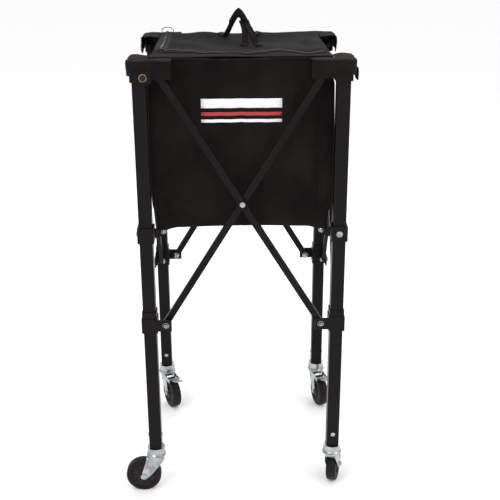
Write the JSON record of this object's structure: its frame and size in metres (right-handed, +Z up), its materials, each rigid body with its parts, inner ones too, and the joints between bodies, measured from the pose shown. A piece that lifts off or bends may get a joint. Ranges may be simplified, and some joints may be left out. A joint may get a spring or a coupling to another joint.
{
  "type": "tennis ball travel cart",
  "caption": "Folding tennis ball cart: a zip-lid fabric bag held between square legs by scissor braces, on swivel casters.",
  "frame": {"origin": "on the floor, at the middle of the cart's overall box; the legs' centre is 18.54 mm to the right of it", "axes": "+Z up, -Y towards the printed front, +X to the right seen from the front"},
  "size_m": [0.481, 0.431, 1.021],
  "materials": {
    "frame_paint": "black satin powder coat",
    "zinc": "bright zinc plate",
    "wheel_rubber": "matt black rubber",
    "steel": "bare pressed steel",
    "bag_cloth": "black coated polyester weave",
    "webbing": "black ribbed webbing"
  },
  "bodies": {
    "leg_front_left": {"leg_front_left": "frame_paint", "top_bracket_front_left": "frame_paint", "upper_collar_front_left": "frame_paint", "corner_sleeve_front_left": "bag_cloth", "caster_stem_front_left": "zinc", "bag_panel_front": "bag_cloth", "bag_panel_left": "bag_cloth"},
    "slider_front_left": {"sliding_collar_front_left": "frame_paint"},
    "leg_front_right": {"leg_front_right": "frame_paint", "top_bracket_front_right": "frame_paint", "upper_collar_front_right": "frame_paint", "corner_sleeve_front_right": "bag_cloth", "caster_stem_front_right": "zinc", "bag_panel_right": "bag_cloth"},
    "slider_front_right": {"sliding_collar_front_right": "frame_paint"},
    "leg_back_right": {"leg_back_right": "frame_paint", "top_bracket_back_right": "frame_paint", "upper_collar_back_right": "frame_paint", "corner_sleeve_back_right": "bag_cloth", "caster_stem_back_right": "zinc"},
    "slider_back_right": {"sliding_collar_back_right": "frame_paint"},
    "leg_back_left": {"leg_back_left": "frame_paint", "top_bracket_back_left": "frame_paint", "upper_collar_back_left": "frame_paint", "corner_sleeve_back_left": "bag_cloth", "caster_stem_back_left": "zinc", "bag_panel_back": "bag_cloth"},
    "slider_back_left": {"sliding_collar_back_left": "frame_paint"},
    "outer_arm_front": {"outer_arm_front": "frame_paint", "centre_rivet_front": "zinc"},
    "inner_arm_front": {"inner_arm_front": "frame_paint"},
    "outer_arm_right": {"outer_arm_right": "frame_paint", "centre_rivet_right": "zinc"},
    "inner_arm_right": {"inner_arm_right": "frame_paint"},
    "outer_arm_back": {"outer_arm_back": "frame_paint", "centre_rivet_back": "zinc"},
    "inner_arm_back": {"inner_arm_back": "frame_paint"},
    "outer_arm_left": {"outer_arm_left": "frame_paint", "centre_rivet_left": "zinc"},
    "inner_arm_left": {"inner_arm_left": "frame_paint"},
    "floor_front": {"bag_floor_front": "bag_cloth"},
    "floor_rear": {"bag_floor_rear": "bag_cloth"},
    "lid_hem": {"lid_hem": "bag_cloth"},
    "lid_rear": {"lid_rear": "bag_cloth", "carry_handle": "webbing"},
    "lid_front": {"lid_front": "bag_cloth"},
    "zipper_pull": {"zipper_pull": "steel"},
    "fork_front_left": {"caster_fork_front_left": "zinc"},
    "wheel_front_left": {"caster_wheel_front_left": "wheel_rubber"},
    "fork_front_right": {"caster_fork_front_right": "zinc"},
    "wheel_front_right": {"caster_wheel_front_right": "wheel_rubber"},
    "fork_back_right": {"caster_fork_back_right": "zinc"},
    "wheel_back_right": {"caster_wheel_back_right": "wheel_rubber"},
    "pedal_back_right": {"brake_pedal_back_right": "steel"},
    "fork_back_left": {"caster_fork_back_left": "zinc"},
    "wheel_back_left": {"caster_wheel_back_left": "wheel_rubber"},
    "pedal_back_left": {"brake_pedal_back_left": "steel"}
  },
  "joints": [
    {"name": "frame_fold", "type": "hinge", "parent": "leg_front_left", "child": "outer_arm_front", "pos_m": [-0.14046, -0.192, 0.918], "axis": [0, -1, 0], "range_deg": [-24, 0], "deforming": ["bag_panel_front", "bag_panel_left", "bag_panel_right", "bag_panel_back", "bag_floor_front", "bag_floor_rear", "lid_hem", "lid_rear", "lid_front"]},
    {"name": "front_cross", "type": "hinge", "parent": "outer_arm_front", "child": "inner_arm_front", "pos_m": [0.01854, -0.192, 0.66], "axis": [0, -1, 0], "range_deg": [0, 48]},
    {"name": "front_right_leg", "type": "hinge", "parent": "inner_arm_front", "child": "leg_front_right", "pos_m": [0.17754, -0.192, 0.918], "axis": [0, -1, 0], "range_deg": [-24, 0]},
    {"name": "front_right_slider", "type": "hinge", "parent": "outer_arm_front", "child": "slider_front_right", "pos_m": [0.17754, -0.192, 0.402], "axis": [0, -1, 0], "range_deg": [0, 24]},
    {"name": "front_left_slider", "type": "hinge", "parent": "inner_arm_front", "child": "slider_front_left", "pos_m": [-0.14046, -0.192, 0.402], "axis": [0, -1, 0], "range_deg": [-24, 0]},
    {"name": "left_inner_top", "type": "hinge", "parent": "leg_front_left", "child": "inner_arm_left", "pos_m": [-0.17346, -0.159, 0.918], "axis": [-1, 0, 0], "range_deg": [0, 24]},
    {"name": "left_cross", "type": "hinge", "parent": "inner_arm_left", "child": "outer_arm_left", "pos_m": [-0.17346, 0, 0.66], "axis": [-1, 0, 0], "range_deg": [-48, 0]},
    {"name": "back_left_leg", "type": "hinge", "parent": "outer_arm_left", "child": "leg_back_left", "pos_m": [-0.17346, 0.159, 0.918], "axis": [-1, 0, 0], "range_deg": [0, 24]},
    {"name": "back_left_slider", "type": "hinge", "parent": "inner_arm_left", "child": "slider_back_left", "pos_m": [-0.17346, 0.159, 0.402], "axis": [-1, 0, 0], "range_deg": [-24, 0]},
    {"name": "right_outer_top", "type": "hinge", "parent": "leg_front_right", "child": "outer_arm_right", "pos_m": [0.21054, -0.159, 0.918], "axis": [1, 0, 0], "range_deg": [-24, 0]},
    {"name": "right_cross", "type": "hinge", "parent": "outer_arm_right", "child": "inner_arm_right", "pos_m": [0.21054, 0, 0.66], "axis": [1, 0, 0], "range_deg": [0, 48]},
    {"name": "back_right_leg", "type": "hinge", "parent": "inner_arm_right", "child": "leg_back_right", "pos_m": [0.21054, 0.159, 0.918], "axis": [1, 0, 0], "range_deg": [-24, 0]},
    {"name": "back_right_slider", "type": "hinge", "parent": "outer_arm_right", "child": "slider_back_right", "pos_m": [0.21054, 0.159, 0.402], "axis": [1, 0, 0], "range_deg": [0, 24]},
    {"name": "back_outer_top", "type": "hinge", "parent": "leg_back_right", "child": "outer_arm_back", "pos_m": [0.17754, 0.192, 0.918], "axis": [0, 1, 0], "range_deg": [-24, 0]},
    {"name": "back_cross", "type": "hinge", "parent": "outer_arm_back", "child": "inner_arm_back", "pos_m": [0.01854, 0.192, 0.66], "axis": [0, 1, 0], "range_deg": [0, 48]},
    {"name": "floor_front_fold", "type": "hinge", "parent": "leg_front_left", "child": "floor_front", "pos_m": [0.01854, -0.174, 0.6075], "axis": [1, 0, 0], "range_deg": [0, 70.5]},
    {"name": "floor_rear_fold", "type": "hinge", "parent": "leg_back_left", "child": "floor_rear", "pos_m": [0.01854, 0.174, 0.6075], "axis": [-1, 0, 0], "range_deg": [0, 70.5]},
    {"name": "lid_open", "type": "hinge", "parent": "leg_back_left", "child": "lid_hem", "pos_m": [0.01854, 0.174, 0.94], "axis": [-1, 0, 0], "range_deg": [0, 110]},
    {"name": "lid_rear_fold", "type": "hinge", "parent": "lid_hem", "child": "lid_rear", "pos_m": [0.01854, 0.174, 0.94], "axis": [-1, 0, 0], "range_deg": [0, 70.5]},
    {"name": "lid_front_fold", "type": "hinge", "parent": "lid_rear", "child": "lid_front", "pos_m": [0.01854, 0, 0.94], "axis": [-1, 0, 0], "range_deg": [-141, 0]},
    {"name": "zipper_travel", "type": "slide", "parent": "lid_rear", "child": "zipper_pull", "axis": [0, -1, 0], "range_m": [0, 0.13]},
    {"name": "swivel_front_left", "type": "hinge", "parent": "leg_front_left", "child": "fork_front_left", "pos_m": [-0.17346, -0.192, 0.09], "axis": [0, 0, 1], "continuous": true},
    {"name": "wheel_spin_front_left", "type": "hinge", "parent": "fork_front_left", "child": "wheel_front_left", "pos_m": [-0.20246, -0.192, 0.038], "axis": [0, -1, 0], "continuous": true},
    {"name": "swivel_front_right", "type": "hinge", "parent": "leg_front_right", "child": "fork_front_right", "pos_m": [0.21054, -0.192, 0.09], "axis": [0, 0, 1], "continuous": true},
    {"name": "wheel_spin_front_right", "type": "hinge", "parent": "fork_front_right", "child": "wheel_front_right", "pos_m": [0.21853, -0.16412, 0.038], "axis": [-0.9613, 0.2756, 0], "continuous": true},
    {"name": "swivel_back_right", "type": "hinge", "parent": "leg_back_right", "child": "fork_back_right", "pos_m": [0.21054, 0.192, 0.09], "axis": [0, 0, 1], "continuous": true},
    {"name": "wheel_spin_back_right", "type": "hinge", "parent": "fork_back_right", "child": "wheel_back_right", "pos_m": [0.21805, 0.16399, 0.038], "axis": [0.9659, 0.2588, 0], "continuous": true},
    {"name": "brake_back_right", "type": "hinge", "parent": "fork_back_right", "child": "pedal_back_right", "pos_m": [0.22167, 0.15046, 0.0805], "axis": [0.9659, 0.2588, 0], "range_deg": [0, 9]},
    {"name": "swivel_back_left", "type": "hinge", "parent": "leg_back_left", "child": "fork_back_left", "pos_m": [-0.17346, 0.192, 0.09], "axis": [0, 0, 1], "continuous": true},
    {"name": "wheel_spin_back_left", "type": "hinge", "parent": "fork_back_left", "child": "wheel_back_left", "pos_m": [-0.1612, 0.16572, 0.038], "axis": [0.9063, 0.4226, 0], "continuous": true},
    {"name": "brake_back_left", "type": "hinge", "parent": "fork_back_left", "child": "pedal_back_left", "pos_m": [-0.15529, 0.15303, 0.0805], "axis": [0.9063, 0.4226, 0], "range_deg": [0, 9]}
  ],
  "couplings": [
    {"joint": "front_cross", "follows": "frame_fold", "ratio": -2},
    {"joint": "front_right_leg", "follows": "frame_fold", "ratio": 1},
    {"joint": "front_right_slider", "follows": "frame_fold", "ratio": -1},
    {"joint": "front_left_slider", "follows": "frame_fold", "ratio": 1},
    {"joint": "left_inner_top", "follows": "frame_fold", "ratio": -1},
    {"joint": "left_cross", "follows": "frame_fold", "ratio": 2},
    {"joint": "back_left_leg", "follows": "frame_fold", "ratio": -1},
    {"joint": "back_left_slider", "follows": "frame_fold", "ratio": 1},
    {"joint": "right_outer_top", "follows": "frame_fold", "ratio": 1},
    {"joint": "right_cross", "follows": "frame_fold", "ratio": -2},
    {"joint": "back_right_leg", "follows": "frame_fold", "ratio": 1},
    {"joint": "back_right_slider", "follows": "frame_fold", "ratio": -1},
    {"joint": "back_outer_top", "follows": "frame_fold", "ratio": 1},
    {"joint": "back_cross", "follows": "frame_fold", "ratio": -2},
    {"joint": "floor_front_fold", "follows": "frame_fold", "ratio": -2.9375},
    {"joint": "floor_rear_fold", "follows": "frame_fold", "ratio": -2.9375},
    {"joint": "lid_rear_fold", "follows": "frame_fold", "ratio": -2.9375},
    {"joint": "lid_front_fold", "follows": "frame_fold", "ratio": 5.875}
  ]
}
